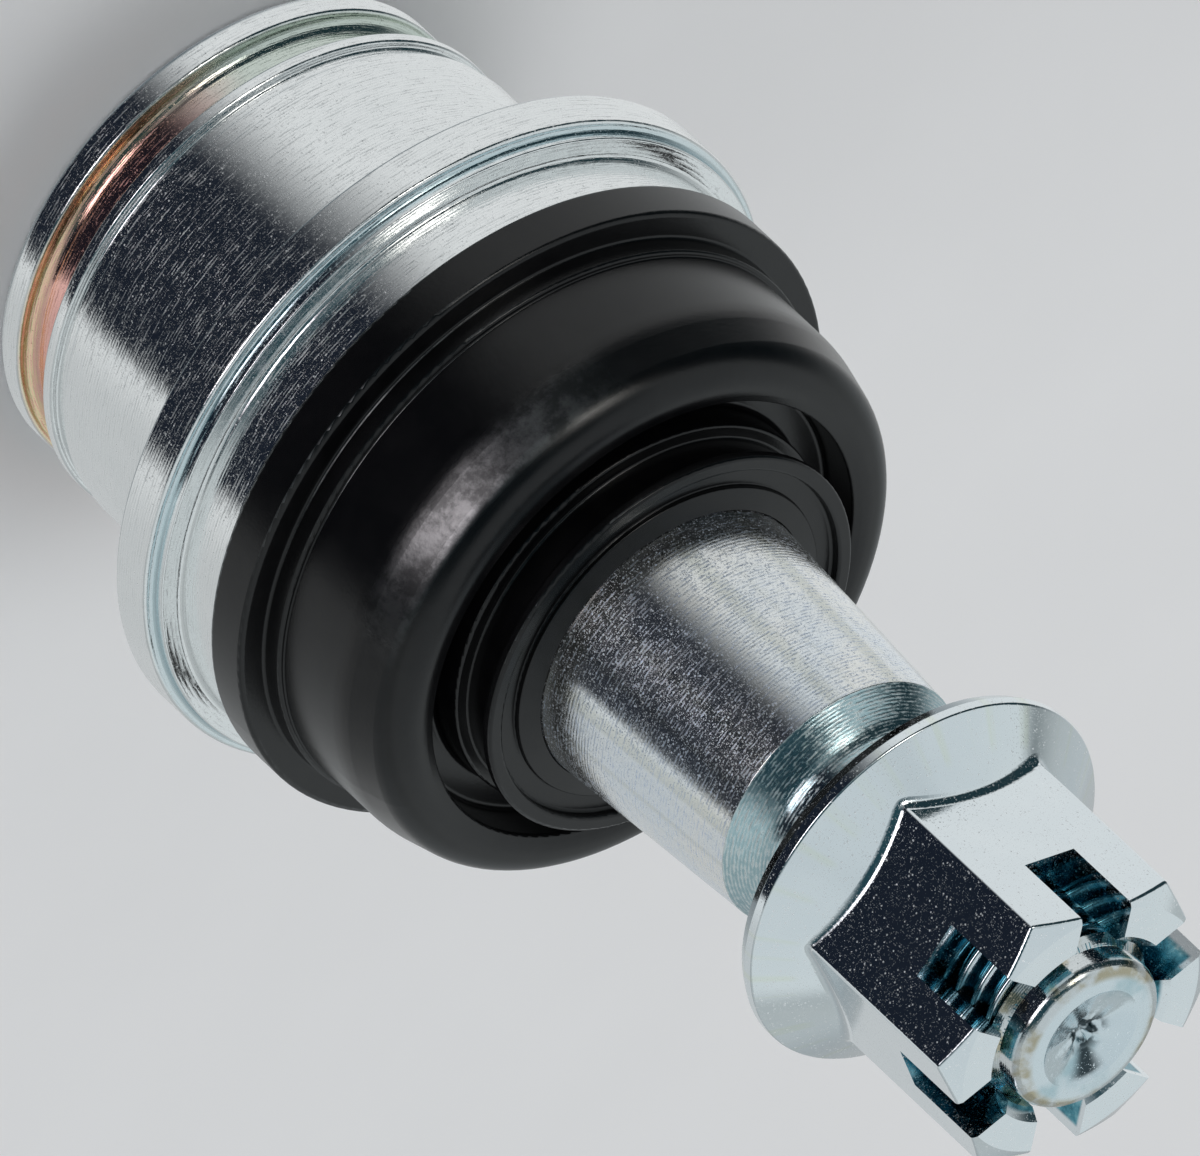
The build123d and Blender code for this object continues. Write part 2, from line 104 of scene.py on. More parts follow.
# Zinc plating: its two sizes of crystal, and the depth of its relief.
LARGE_CRYSTAL = 0.26 * MM
SMALL_CRYSTAL = 0.15 * MM
PLATING_RELIEF = 0.02 * MM

# Turning marks: lines on a face for each one on a cylinder, breaks in a radian round the part, and
# how far the even part of the marks stands out.
LINES_ON_FACES = 0.8
BREAKS_PER_RADIAN = 12.0
EVEN_MARKS = 0.11

# Rubber: the depth of its grain, and where the patch of bloom lies round the stud.
RUBBER_RELIEF = 0.012 * MM
BLOOM_START = math.radians(-99.0)
BLOOM_END = math.radians(-46.0)
BLOOM_EDGE = math.radians(13.0)

# Metric thread of 16 mm and its hole for the cotter pin.
THREAD_START_Z = 65.15 * MM
THREAD_CHAMFER_Z = 87.6 * MM
THREAD_RADIUS = 8.0 * MM
THREAD_PITCH = 2.0 * MM
THREAD_DEPTH = 1.2 * MM
UNDERCUT_RADIUS = 6.9 * MM
COTTER_HOLE_RADIUS = 2.0 * MM
COTTER_HOLE_Z = 84.3 * MM
THREAD_ROUNDING = 0.08
THREAD_SIDES = 120
THREAD_ROWS = 260
DRILL_SIDES = 48

# How far the threaded piece reaches into the undercut and into the dog point.
THREAD_INTO_UNDERCUT = 1.3 * MM
THREAD_INTO_POINT = 1.0 * MM

# The dog point: radius and depth of its dish from the drilled centre out, in millimetres, the star that the
# drill's chatter leaves just above the bottom of the centre, and the painted dark reflection on its face:
# its centre and a fan.
DISH_STEPS = ((0.9, 1.25), (1.9, 0.75), (4.2, 0.28), (4.7, 0.0))
DISH_RADIUS = DISH_STEPS[-1][0] * MM
CHATTER = 0.45 * MM
CHATTER_LOBES = 5
CHATTER_RADIUS = DISH_RADIUS / 2
CHATTER_FOOT = 0.1 * MM
DARK_CENTRE_RADIUS = 1.9 * MM
FAN_START = math.radians(52.0)
FAN_END = math.radians(88.0)
FAN_EDGE = math.radians(12.0)
FAN_INNER_RADIUS = 1.4 * MM
FAN_OUTER_RADIUS = 4.2 * MM
POINT_FACE_RADIUS = 6.0 * MM

# Facets round the pieces that are turned again, and the angle from which their edges stay sharp.
HOUSING_SIDES = 320
SHANK_SIDES = 240
POINT_SIDES = 160
SHARP_ANGLE = math.radians(25.0)

# Distances in a section below which two points are one, a point lies on the seam, and places agree.
SAME_POINT = 0.002 * MM
ON_SEAM = 0.003 * MM
SAME_PLACE = 0.01 * MM

# Camera: a long lens that looks down on the part, turned so that the stud points low and right.
CAMERA_AZIMUTH = math.radians(13.6)
CAMERA_ELEVATION = math.radians(34.6)
CAMERA_ROLL = math.radians(43.2)
CAMERA_LENS = 1300.0
CAMERA_SENSOR = 36.0
PICTURE_WIDTH = 1200
PIXEL_SIZE = 0.0803 * MM
CAMERA_TARGET = Vector((0, 0, 26.0 * MM))

FLOOR_REACH = 3.0
FLOOR_DROP = 0.1 * MM


def link(thing):
    bpy.context.scene.collection.objects.link(thing)
    return thing


def add_camera():
    """Camera at the photograph's angle, far enough away to be nearly parallel."""
    azimuth, elevation, roll = CAMERA_AZIMUTH, CAMERA_ELEVATION, CAMERA_ROLL
    across = Vector((math.cos(azimuth), math.sin(azimuth), 0))
    back = Vector((
        math.cos(elevation) * math.sin(azimuth),
        -math.cos(elevation) * math.cos(azimuth),
        math.sin(elevation),
    ))
    rising = back.cross(across)
    right = rising * math.cos(roll) - across * math.sin(roll)
    up = back.cross(right)
    distance = CAMERA_LENS / CAMERA_SENSOR * PICTURE_WIDTH * PIXEL_SIZE
    data = bpy.data.cameras.new("camera")
    data.lens = CAMERA_LENS
    data.sensor_width = CAMERA_SENSOR
    data.clip_start = distance / 2
    data.clip_end = distance * 3
    camera = bpy.data.objects.new("camera", data)
    turn = Matrix((right, up, back)).transposed().to_4x4()
    camera.matrix_world = Matrix.Translation(CAMERA_TARGET + back * distance) @ turn
    bpy.context.scene.camera = link(camera)


class Nodes:
    """Short way to add and wire the nodes of one material, world or geometry tree."""

    def __init__(self, tree):
        self.tree = tree
        tree.nodes.clear()

    def add(self, kind, inputs=(), **settings):
        node = self.tree.nodes.new(kind)
        for name, value in settings.items():
            setattr(node, name, value)
        for socket, value in dict(inputs).items():
            self.feed(node.inputs[socket], value)
        return node

    def feed(self, socket, value):
        if isinstance(value, bpy.types.NodeSocket):
            self.tree.links.new(value, socket)
        else:
            socket.default_value = value

    def math(self, operation, first, second=0.0, third=0.0):
        node = self.add("ShaderNodeMath", operation=operation)
        for socket, value in zip(node.inputs, (first, second, third)):
            self.feed(socket, value)
        return node.outputs[0]

    def squared(self, value):
        return self.math("MULTIPLY", value, value)

    def step(self, value, low, high, start=0.0, end=1.0):
        """Smooth rise of start to end while value goes from low to high."""
        node = self.add("ShaderNodeMapRange", interpolation_type="SMOOTHSTEP", inputs={
            "Value": value, "From Min": low, "From Max": high, "To Min": start, "To Max": end})
        return node.outputs["Result"]

    def below(self, value, limit, edge):
        """One below a limit and nothing above it, with a soft edge."""
        return self.step(value, limit + edge, limit - edge)

    def band(self, value, low, high, edge):
        """One between low and high, and nothing outside, with soft edges."""
        rise = self.step(value, low - edge, low + edge)
        return self.math("MULTIPLY", rise, self.below(value, high, edge))

    def mix(self, factor, first, second):
        """Blend of two colours."""
        node = self.add("ShaderNodeMix", data_type="RGBA")
        self.feed(node.inputs[0], factor)
        self.feed(node.inputs[6], first)
        self.feed(node.inputs[7], second)
        return node.outputs[2]

    def ramp(self, value, *stops):
        node = self.add("ShaderNodeValToRGB", inputs={"Fac": value})
        elements = node.color_ramp.elements
        while len(elements) < len(stops):
            elements.new(1.0)
        for element, (position, color) in zip(elements, stops):
            element.position = position
            element.color = color
        return node.outputs["Color"]

    def noise(self, vector, scale, detail=2.0, roughness=0.5):
        node = self.add("ShaderNodeTexNoise", inputs={
            "Vector": vector, "Scale": scale, "Detail": detail, "Roughness": roughness})
        return node.outputs["Fac"]

    def mix_shaders(self, factor, first, second):
        node = self.add("ShaderNodeMixShader")
        for socket, value in zip(node.inputs, (factor, first, second)):
            self.feed(socket, value)
        return node.outputs[0]

    def vector(self, x, y, z):
        return self.add("ShaderNodeCombineXYZ", inputs={"X": x, "Y": y, "Z": z}).outputs[0]

    def end(self, kind, shader):
        """Ends a material's or a world's tree with its output."""
        output = self.add(kind)
        self.feed(output.inputs["Surface"], shader)


def tone(red, green, blue):
    return (red, green, blue, 1.0)


def start_material(name):
    """Empty material and the way to fill it."""
    material = bpy.data.materials.new(name)
    material.use_nodes = True
    return material, Nodes(material.node_tree)


# The studio as the part mirrors it. Bearings count from the middle of the dark gap, which faces the
# camera's right shoulder, and heights are the Z of a direction.
GAP_BEARING = math.radians(-71.0)
GAP_HALF_LOW = math.radians(49.0)
GAP_HALF_HIGH = math.radians(32.0)
GAP_HALF_CEILING = math.radians(80.0)
GAP_TOP = 0.86
SHARP_EDGE = math.radians(2.5)
SOFT_EDGE = math.radians(20.0)
PANEL_HALF = math.radians(15.0)
PANEL_EDGE = math.radians(7.0)
PANEL_LOW = -0.20
PANEL_HIGH = 0.12
PANEL_LIGHT = tone(3.8, 3.6, 3.75)
STRIP_BEARING = math.radians(-63.0)
STRIP_HALF = math.radians(11.0)
STRIP_LOW = 0.32
STRIP_HIGH = 0.56
STRIP_LIGHT = tone(4.2, 4.1, 3.9)
SKIRTING_START = math.radians(-150.0)
SKIRTING_END = math.radians(-45.0)
SKIRTING_LOW = -0.39
SKIRTING_HIGH = 0.44
SKIRTING_COLOR = tone(0.014, 0.034, 0.042)
SHADED_START = math.radians(60.0)
SHADED_END = math.radians(175.0)
SHADED_EDGE = math.radians(15.0)
SHADED_COLOR = tone(0.20, 0.22, 0.23)
GAP_LOW_COLOR = tone(0.010, 0.014, 0.023)
GAP_HIGH_COLOR = tone(0.018, 0.056, 0.072)
WALL = tone(0.84, 0.85, 0.86)
PLAIN_LIGHT = 0.5

# Soft boxes: bearing from the camera's right, elevation, distance, size and power.
LAMPS = {
    "overhead_box": {"bearing": 100.0, "elevation": 72.0, "distance": 1.0, "size": 0.8, "power": 4.0},
    "front_box": {"bearing": -40.0, "elevation": 35.0, "distance": 1.0, "size": 0.5, "power": 1.2},
}


def studio_walls(nodes, bearing, height):
    """Pale walls and ceiling, shaded on one side, with a dark skirting on the soft side of the gap."""
    pale = nodes.ramp(
        nodes.step(height, -1.0, 1.0),
        (0.00, tone(0.14, 0.17, 0.19)),
        (0.06, tone(0.66, 0.69, 0.70)),
        (0.22, tone(0.88, 0.89, 0.89)),
        (0.50, tone(0.74, 0.79, 0.81)),
        (0.72, tone(0.70, 0.74, 0.74)),
        (1.00, tone(0.60, 0.65, 0.67)),
    )
    shade = nodes.math("MULTIPLY", nodes.band(bearing, SHADED_START, SHADED_END, SHADED_EDGE),
                       nodes.step(height, -0.1, 0.2, 0.35, 0.0))
    pale = nodes.mix(shade, pale, SHADED_COLOR)
    soft_side = nodes.band(bearing, SKIRTING_START, SKIRTING_END, SOFT_EDGE)
    strength = nodes.step(soft_side, 0.0, 1.0, 0.35, 1.0)
    skirting = nodes.math("MULTIPLY", nodes.band(height, SKIRTING_LOW, SKIRTING_HIGH, 0.06), strength)
    return nodes.mix(skirting, pale, SKIRTING_COLOR)


def studio_gap(nodes, bearing, height):
    """Share of the dark gap between the walls: sharp at one side, soft at the other."""
    half = nodes.step(height, -0.35, 0.55, GAP_HALF_LOW, GAP_HALF_HIGH)
    edge = nodes.step(height, -0.3, 0.5, SHARP_EDGE, SOFT_EDGE)
    wider = nodes.step(height, 0.45, 0.65, 0.0, GAP_HALF_CEILING - GAP_HALF_HIGH)
    soft_half = nodes.math("ADD", half, wider)
    soft_side = nodes.step(nodes.math("ADD", bearing, soft_half), -SOFT_EDGE, SOFT_EDGE)
    sharp_side = nodes.step(nodes.math("DIVIDE", nodes.math("SUBTRACT", half, bearing), edge), -1.0, 1.0)
    between = nodes.math("MULTIPLY", soft_side, sharp_side)
    return nodes.math("MULTIPLY", between, nodes.below(height, GAP_TOP, 0.08))


def set_world():
    """Studio room with a dark gap on the camera's side, a low light panel in it and a strip beside it."""
    world = bpy.data.worlds.new("studio")
    world.use_nodes = True
    bpy.context.scene.world = world
    nodes = Nodes(world.node_tree)
    direction = nodes.add("ShaderNodeTexCoord").outputs["Generated"]
    facing = nodes.add("ShaderNodeVectorRotate", rotation_type="Z_AXIS", inputs={
        "Vector": direction, "Angle": -(CAMERA_AZIMUTH + GAP_BEARING)}).outputs[0]
    split = nodes.add("ShaderNodeSeparateXYZ", inputs={"Vector": facing})
    bearing = nodes.math("ARCTAN2", split.outputs["Y"], split.outputs["X"])
    height = split.outputs["Z"]
    gap = nodes.mix(nodes.step(height, -0.15, 0.2), GAP_LOW_COLOR, GAP_HIGH_COLOR)
    walls = studio_walls(nodes, bearing, height)
    room = nodes.mix(studio_gap(nodes, bearing, height), walls, gap)
    panel = nodes.math("MULTIPLY", nodes.band(bearing, -PANEL_HALF, PANEL_HALF, PANEL_EDGE),
                       nodes.band(height, PANEL_LOW, PANEL_HIGH, 0.08))
    room = nodes.mix(panel, room, PANEL_LIGHT)
    strip = nodes.math("MULTIPLY", nodes.band(bearing, STRIP_BEARING - STRIP_HALF,
                                              STRIP_BEARING + STRIP_HALF, PANEL_EDGE),
                       nodes.band(height, STRIP_LOW, STRIP_HIGH, 0.1))
    room = nodes.mix(strip, room, STRIP_LIGHT)
    path = nodes.add("ShaderNodeLightPath").outputs
    mirrored = nodes.add("ShaderNodeBackground", inputs={"Color": room, "Strength": 1.0})
    plain = nodes.add("ShaderNodeBackground", inputs={"Color": WALL, "Strength": PLAIN_LIGHT})
    seen = nodes.add("ShaderNodeBackground", inputs={"Color": WALL, "Strength": 1.0})
    lit = nodes.mix_shaders(path["Is Glossy Ray"], plain.outputs[0], mirrored.outputs[0])
    shown = nodes.mix_shaders(path["Is Camera Ray"], lit, seen.outputs[0])
    nodes.end("ShaderNodeOutputWorld", shown)


def add_lamp(name, bearing, elevation, distance, size, power):
    """Square soft box that faces the middle of the part, at a bearing from the camera's right."""
    data = bpy.data.lights.new(name, "AREA")
    data.shape = "SQUARE"
    data.size = size
    data.energy = power
    lamp = bpy.data.objects.new(name, data)
    lamp.visible_glossy = False
    azimuth = math.radians(bearing) + CAMERA_AZIMUTH
    height = math.radians(elevation)
    away = Vector((
        math.cos(height) * math.cos(azimuth),
        math.cos(height) * math.sin(azimuth),
        math.sin(height),
    ))
    lamp.location = CAMERA_TARGET + away * distance
    lamp.rotation_euler = away.to_track_quat("Z", "Y").to_euler()
    link(lamp)


def object_from(mesh, name):
    """Object with the shape of a bmesh, which is then freed."""
    data = bpy.data.meshes.new(name)
    mesh.to_mesh(data)
    mesh.free()
    return link(bpy.data.objects.new(name, data))


def add_floor():
    """Plain pale floor just under the closed end, which metal doesn't mirror."""
    mesh = bmesh.new()
    bmesh.ops.create_grid(mesh, x_segments=1, y_segments=1, size=FLOOR_REACH)
    bmesh.ops.translate(mesh, verts=mesh.verts, vec=(0, 0, cad_box[0][2] - FLOOR_DROP))
    floor = object_from(mesh, "floor")
    floor.visible_glossy = False
    material, nodes = start_material("pale_floor")
    grain = nodes.noise(nodes.add("ShaderNodeTexCoord").outputs["Object"], 60.0)
    color = nodes.mix(grain, tone(0.80, 0.81, 0.82), tone(0.83, 0.84, 0.85))
    shader = nodes.add("ShaderNodeBsdfPrincipled", inputs={"Base Color": color, "Roughness": 0.9})
    nodes.end("ShaderNodeOutputMaterial", shader.outputs[0])
    floor.data.materials.append(material)


class Surface:
    """Point of the part as a finish reads it: its place, distance from the axis, height and bearing."""

    def __init__(self, nodes):
        self.place = nodes.add("ShaderNodeTexCoord").outputs["Object"]
        x, y, self.z = nodes.add("ShaderNodeSeparateXYZ", inputs={"Vector": self.place}).outputs
        self.radius = nodes.math("SQRT", nodes.math("ADD", nodes.squared(x), nodes.squared(y)))
        self.bearing = nodes.math("ARCTAN2", y, x)


class Plating(Surface):
    """Surface with the patches, turned lines and crystals of a plated piece."""

    def __init__(self, nodes, lines_per_mm, large, small, grain):
        super().__init__(nodes)
        self.patches = nodes.noise(self.place, 260.0, detail=3.0)
        self.lines = turning_marks(nodes, self, lines_per_mm)
        fine = nodes.math("MULTIPLY", crystals(nodes, self.place, SMALL_CRYSTAL, small), 0.6)
        specks = nodes.math("MAXIMUM", crystals(nodes, self.place, LARGE_CRYSTAL, large), fine)
        self.specks = nodes.math("MULTIPLY", specks, grain)


def turning_marks(nodes, here, per_mm):
    """Fine lines that a lathe leaves round cylinders and faces, even in pitch and uneven in depth."""
    along = nodes.math("MULTIPLY_ADD", here.radius, -LINES_ON_FACES, here.z)
    spread = nodes.vector(nodes.math("MULTIPLY", along, per_mm / MM),
                          nodes.math("MULTIPLY", here.bearing, BREAKS_PER_RADIAN), 0.0)
    uneven = nodes.noise(spread, 1.0, detail=3.0, roughness=0.6)
    wave = nodes.math("SINE", nodes.math("MULTIPLY", along, math.tau * per_mm / MM))
    return nodes.math("MULTIPLY_ADD", wave, EVEN_MARKS, uneven)


def crystals(nodes, place, size, share):
    """Scattered zinc crystals of one size, brightest in their middle."""
    cells = nodes.add("ShaderNodeTexVoronoi", inputs={"Vector": place, "Scale": 1 / size}).outputs
    chance = nodes.add("ShaderNodeSeparateColor", inputs={"Color": cells["Color"]}).outputs[0]
    chosen = nodes.step(chance, 1.0 - share, 1.0 - share * 0.3)
    return nodes.math("MULTIPLY", chosen, nodes.step(cells["Distance"], 0.15, 0.48, 1.0, 0.0))


def finish_metal(name, make_color, roughness, grain, marks, lines_per_mm=3.0, brushed=0.0,
                 large=0.12, small=0.3, dents=0.0, haze=0.0):
    """Plated steel: crystals and turning marks in the bump and roughness, tints in the colour."""
    material, nodes = start_material(name)
    here = Plating(nodes, lines_per_mm, large, small, grain)
    rough = nodes.step(here.patches, 0.3, 0.7, roughness * 0.8, roughness * 1.2)
    rough = nodes.math("ADD", rough, nodes.math("MULTIPLY", here.specks, 0.3))
    rough = nodes.math("ADD", rough, nodes.step(here.lines, 0.5, 0.75, 0.0, 0.25 * marks))
    soft = nodes.math("ADD", nodes.math("MULTIPLY", nodes.noise(here.place, 3000.0), 0.08 * grain),
                      nodes.math("MULTIPLY", nodes.noise(here.place, 520.0, detail=4.0), dents))
    height = nodes.math("ADD", nodes.math("MULTIPLY", here.specks, 0.22),
                        nodes.math("ADD", soft, nodes.math("MULTIPLY", here.lines, marks)))
    bump = nodes.add("ShaderNodeBump", inputs={
        "Height": height, "Distance": PLATING_RELIEF, "Strength": 1.0})
    round_axis = nodes.add("ShaderNodeTangent", direction_type="RADIAL", axis="Z")
    dull = nodes.math("ADD", nodes.math("MULTIPLY", here.specks, 0.45),
                      nodes.step(here.lines, 0.52, 0.74, 0.0, 0.08 * marks))
    shader = nodes.add("ShaderNodeBsdfPrincipled", inputs={
        "Base Color": make_color(nodes, here), "Metallic": nodes.math("SUBTRACT", 1.0 - haze, dull),
        "Roughness": rough, "Normal": bump.outputs[0],
        "Anisotropic": brushed, "Anisotropic Rotation": 0.25, "Tangent": round_axis.outputs[0]})
    nodes.end("ShaderNodeOutputMaterial", shader.outputs[0])
    return material


def housing_color(nodes, here):
    """Clear zinc over the forged shell, with the ring groove's gold and rose film and a painted teal
    reflection in the flange's cove.
    """
    base = nodes.mix(here.patches, tone(0.84, 0.86, 0.86), tone(0.92, 0.93, 0.93))
    base = nodes.mix(nodes.math("MULTIPLY", here.specks, 0.4), base, tone(0.94, 0.95, 0.96))
    # Painted reflection: a teal tint in the cove between the flange and the face, where the metal mirrors
    # itself.
    painted_cove_reflection = nodes.math("MULTIPLY", nodes.band(here.z, FLANGE_TOP_Z, FACE_Z - 0.4 * MM, 0.25 * MM),
                       nodes.below(here.radius, LEDGE_RADIUS, 0.1 * MM))
    base = nodes.mix(painted_cove_reflection, base, tone(0.62, 0.75, 0.79))
    streaks = nodes.step(here.lines, 0.3, 0.7, -0.08, 0.08)
    across = nodes.math("SUBTRACT", here.z, GROOVE_START_Z)
    across = nodes.math("DIVIDE", across, GROOVE_END_Z - GROOVE_START_Z)
    film = nodes.ramp(
        nodes.math("ADD", streaks, across),
        (0.00, tone(0.84, 0.70, 0.44)),
        (0.08, tone(0.94, 0.64, 0.44)),
        (0.22, tone(0.96, 0.56, 0.47)),
        (0.66, tone(0.94, 0.52, 0.48)),
        (0.88, tone(0.80, 0.60, 0.40)),
        (1.00, tone(0.54, 0.54, 0.38)),
    )
    side = nodes.math("COSINE", nodes.math("ADD", here.bearing, FILM_BEARING))
    side = nodes.math("ADD", side, nodes.math("MULTIPLY", here.patches, 0.2))
    film = nodes.mix(nodes.step(side, -0.1, 0.45), tone(0.66, 0.72, 0.66), film)
    groove = nodes.math("MULTIPLY", nodes.band(here.z, GROOVE_START_Z, GROOVE_END_Z, 0.12 * MM),
                        nodes.below(here.radius, GROOVE_MOUTH_RADIUS, 0.3 * MM))
    return nodes.mix(groove, base, film)


def stud_color(nodes, here):
    """Clear zinc over the ground taper, with faint yellow and blue tints and drained streaks."""
    base = nodes.mix(here.patches, tone(0.80, 0.83, 0.86), tone(0.90, 0.92, 0.93))
    broad = nodes.noise(here.place, 90.0, detail=2.0)
    tint = nodes.mix(nodes.step(broad, 0.4, 0.6), tone(0.66, 0.76, 0.82), tone(0.86, 0.84, 0.74))
    base = nodes.mix(0.35, base, tint)
    drained = streaks_down(nodes, here, 4.0, 2.0)
    base = nodes.mix(nodes.step(drained, 0.48, 0.62, 0.0, 0.6), base, tone(0.60, 0.62, 0.56))
    bright = nodes.math("ADD", here.specks, nodes.step(here.lines, 0.5, 0.7))
    return nodes.mix(nodes.math("MULTIPLY", bright, 0.35), base, tone(0.64, 0.76, 0.99))


def waist_color(nodes, here):
    """Teal film in the turning marks of the waist."""
    return nodes.mix(nodes.step(here.lines, 0.4, 0.7), tone(0.44, 0.60, 0.64), tone(0.80, 0.88, 0.89))


def point_color(nodes, here):
    """Thin zinc on the dog point: an olive side, and a pale blue face with a painted dark reflection in its
    centre and in a fan.
    """
    olive = nodes.mix(nodes.step(nodes.noise(here.place, 420.0, detail=3.0), 0.45, 0.62),
                      tone(0.72, 0.76, 0.77), tone(0.50, 0.46, 0.34))
    teal = nodes.step(nodes.noise(here.place, 230.0, detail=3.0), 0.5, 0.7)
    face = nodes.mix(teal, tone(0.74, 0.83, 0.87), tone(0.48, 0.64, 0.69))
    # Painted dark reflection: a dark drilled centre and a dark fan on the face.
    painted_dark_centre = nodes.math("MULTIPLY", nodes.below(here.radius, DARK_CENTRE_RADIUS, 0.7 * MM),
                      nodes.step(nodes.noise(here.place, 800.0, detail=2.0), 0.44, 0.54))
    fan = nodes.math("MULTIPLY", nodes.band(here.bearing, FAN_START, FAN_END, FAN_EDGE),
                     nodes.band(here.radius, FAN_INNER_RADIUS, FAN_OUTER_RADIUS, 0.3 * MM))
    fan = nodes.math("MULTIPLY", fan, nodes.below(here.specks, 0.35, 0.25))
    face = nodes.mix(nodes.math("MAXIMUM", painted_dark_centre, fan), face, tone(0.05, 0.07, 0.08))
    rim = nodes.step(here.radius, POINT_FACE_RADIUS - 0.4 * MM, POINT_FACE_RADIUS + 0.4 * MM)
    return nodes.mix(rim, face, olive)


def nut_color(nodes, here):
    """Blue-white zinc with greenish streaks on the cone, and a blue film darkened with painted shade in the
    slots and the bore.
    """
    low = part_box("castle_nut")[0].z
    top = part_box("castle_nut")[1].z
    base = nodes.mix(here.patches, tone(0.78, 0.84, 0.87), tone(0.86, 0.91, 0.93))
    cone = nodes.math("MULTIPLY", nodes.below(here.z, low + NUT_CONE_HEIGHT, 0.4 * MM),
                      nodes.step(streaks_down(nodes, here, 9.0, 3.0), 0.5, 0.66))
    base = nodes.mix(nodes.math("MULTIPLY", cone, 0.6), base, tone(0.80, 0.86, 0.76))
    base = nodes.mix(nodes.math("MULTIPLY", here.specks, 0.5), base, tone(0.95, 0.96, 0.97))
    # Painted shade: dark blue-green in the slots and the bore.
    inside = nodes.math("MULTIPLY", nodes.below(here.radius, NUT_CROWN_RADIUS, 0.2 * MM),
                        nodes.below(here.z, top - NUT_CROWN_DEPTH, 0.175 * MM))
    return nodes.mix(inside, base, recess_film_and_painted_shade(nodes, here))


def streaks_down(nodes, here, per_radian, detail):
    """Soft streaks that run straight down the piece."""
    turned_by = nodes.math("MULTIPLY", here.bearing, per_radian)
    return nodes.noise(nodes.vector(turned_by, 0.0, 0.0), 1.0, detail=detail)


def recess_film_and_painted_shade(nodes, here):
    """Thick blue-green film where the plating bath drained slowly, darkened to near black as painted shade.
    """
    return nodes.ramp(nodes.noise(here.place, 700.0, detail=4.0, roughness=0.65),
                      (0.30, tone(0.02, 0.10, 0.14)), (0.50, tone(0.09, 0.30, 0.38)),
                      (0.62, tone(0.22, 0.48, 0.55)), (0.75, tone(0.62, 0.76, 0.77)))


def thread_color(nodes, here):
    """Blue film in the roots of the thread, darkened with painted shade, and pale at the crests."""
    # Painted shade: the roots take the dark blue-green, the crests stay pale.
    crest = nodes.step(here.radius, THREAD_RADIUS - THREAD_DEPTH * 0.5, THREAD_RADIUS - 0.1 * MM)
    return nodes.mix(crest, recess_film_and_painted_shade(nodes, here), tone(0.78, 0.84, 0.86))


def plain_metal_color(first, second):
    """Colour of a hidden piece: two close shades in soft patches."""
    def make(nodes, here):
        return nodes.mix(here.patches, first, second)
    return make


def finish_rubber():
    """Moulded rubber: satin black with a fine grain, and one patch of blotchy bloom on its shoulder."""
    material, nodes = start_material("satin_boot_rubber")
    here = Surface(nodes)
    grain = nodes.noise(here.place, 3400.0, detail=3.0, roughness=0.7)
    bloom = nodes.noise(here.place, 420.0, detail=6.0, roughness=0.72)
    color = nodes.mix(nodes.step(bloom, 0.4, 0.65), tone(0.002, 0.002, 0.0025), tone(0.004, 0.004, 0.0045))
    rise = nodes.add("ShaderNodeSeparateXYZ", inputs={
        "Vector": nodes.add("ShaderNodeTexCoord").outputs["Normal"]}).outputs["Z"]
    shoulder = nodes.band(rise, 0.14, 0.46, 0.12)
    patch = nodes.math("MULTIPLY", shoulder, nodes.band(here.bearing, BLOOM_START, BLOOM_END, BLOOM_EDGE))
    shine = nodes.math("MULTIPLY", patch, nodes.step(bloom, 0.36, 0.64, 0.7, 2.6))
    bump = nodes.add("ShaderNodeBump", inputs={"Height": grain, "Distance": RUBBER_RELIEF, "Strength": 1.0})
    shader = nodes.add("ShaderNodeBsdfPrincipled", inputs={
        "Base Color": color, "Roughness": nodes.step(patch, 0.0, 1.0, 0.27, 0.33),
        "Specular IOR Level": nodes.math("ADD", 0.4, shine),
        "Normal": bump.outputs[0]})
    nodes.end("ShaderNodeOutputMaterial", shader.outputs[0])
    return material


def copy_of(node, name):
    """Own mesh with the CAD piece's shape, which may then be changed."""
    piece = frame["nodes"][node].copy()
    piece.data = frame["nodes"][node].data.copy()
    piece.parent = None
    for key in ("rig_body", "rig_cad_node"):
        if key in piece:
            del piece[key]
    piece.name = name
    return link(piece)


def dress(piece, material):
    piece.data.materials.clear()
    piece.data.materials.append(material)


def modified_mesh(piece):
    """Plain mesh of a piece with its modifiers applied."""
    evaluated = piece.evaluated_get(bpy.context.evaluated_depsgraph_get())
    return bpy.data.meshes.new_from_object(evaluated)


def apply_modifiers(piece):
    mesh = modified_mesh(piece)
    piece.modifiers.clear()
    piece.data = mesh


def even_normals(piece):
    """Smooth shading that the large faces rule, broken at sharp edges."""
    for face in piece.data.polygons:
        face.use_smooth = True
    piece.data.set_sharp_from_angle(angle=SHARP_ANGLE)
    modifier = piece.modifiers.new("even_normals", "WEIGHTED_NORMAL")
    modifier.keep_sharp = True
    modifier.weight = 100
    apply_modifiers(piece)


def outline_of(node, first):
    """Radius and height of the points along a turned CAD piece's section, from the one that ranks first.

    The rank has no ties, so that every run starts at the same point.
    """
    mesh = bmesh.new()
    mesh.from_mesh(frame["nodes"][node].data)
    bmesh.ops.remove_doubles(mesh, verts=mesh.verts, dist=SAME_POINT)
    seam = {vertex for vertex in mesh.verts if abs(vertex.co.y) < ON_SEAM and vertex.co.x > -ON_SEAM}
    here = min(seam, key=lambda vertex: first(vertex.co.x, vertex.co.z))
    points = []
    while here:
        points.append((max(here.co.x, 0.0), here.co.z))
        seam.discard(here)
        near = [edge.other_vert(here) for edge in here.link_edges]
        here = next((vertex for vertex in near if vertex in seam), None)
    mesh.free()
    return points


